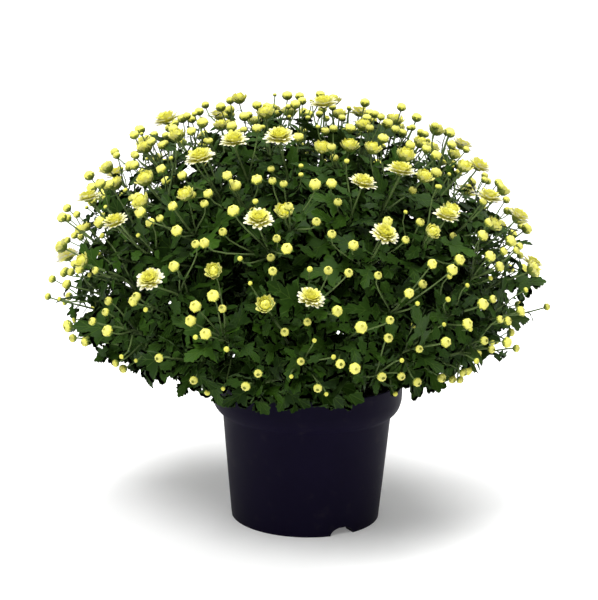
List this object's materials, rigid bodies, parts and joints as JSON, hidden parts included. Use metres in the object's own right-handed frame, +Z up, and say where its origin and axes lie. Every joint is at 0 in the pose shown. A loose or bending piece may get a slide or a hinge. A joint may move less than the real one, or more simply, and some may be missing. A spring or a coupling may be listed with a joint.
{
  "type": "pot chrysanthemum",
  "caption": "Round growing pot of soil with leafy branching stems that form a dome of lobed leaves, flower buds and open daisy-like blooms.",
  "frame": {"origin": "middle of the flat disc in the centre of the pot's underside, on the plane the pot stands on", "axes": "+Z up along the pot's axis, the pictured front of the plant towards -Y, +X to the viewer's right"},
  "size_m": [0.5087, 0.498, 0.4389],
  "materials": {
    "pot": "satin",
    "soil": "matte",
    "foliage": "matte",
    "petals": "matte"
  },
  "bodies": {
    "root": {"pot": "pot", "soil": "soil", "leafy_stem_01": "foliage", "leafy_stem_02": "foliage", "leafy_stem_03": "foliage", "leafy_stem_04": "foliage", "leafy_stem_05": "foliage", "leafy_stem_06": "foliage", "leafy_stem_07": "foliage", "leafy_stem_08": "foliage", "leafy_stem_09": "foliage", "leafy_stem_10": "foliage", "leafy_stem_11": "foliage", "leafy_stem_12": "foliage", "leafy_stem_13": "foliage", "leafy_stem_14": "foliage", "leafy_stem_15": "foliage", "leafy_stem_16": "foliage", "leafy_stem_17": "foliage", "open_bloom_01": "petals", "open_bloom_02": "petals", "open_bloom_03": "petals", "open_bloom_04": "petals", "open_bloom_05": "petals", "open_bloom_06": "petals", "open_bloom_07": "petals", "open_bloom_08": "petals", "open_bloom_09": "petals", "open_bloom_10": "petals", "open_bloom_11": "petals", "open_bloom_12": "petals", "open_bloom_13": "petals", "open_bloom_14": "petals", "open_bloom_15": "petals", "open_bloom_16": "petals", "open_bloom_17": "petals", "open_bloom_18": "petals", "open_bloom_19": "petals", "open_bloom_20": "petals", "open_bloom_21": "petals", "open_bloom_22": "petals", "open_bloom_23": "petals", "open_bloom_24": "petals", "open_bloom_25": "petals", "open_bloom_26": "petals", "open_bloom_27": "petals"}
  },
  "joints": []
}
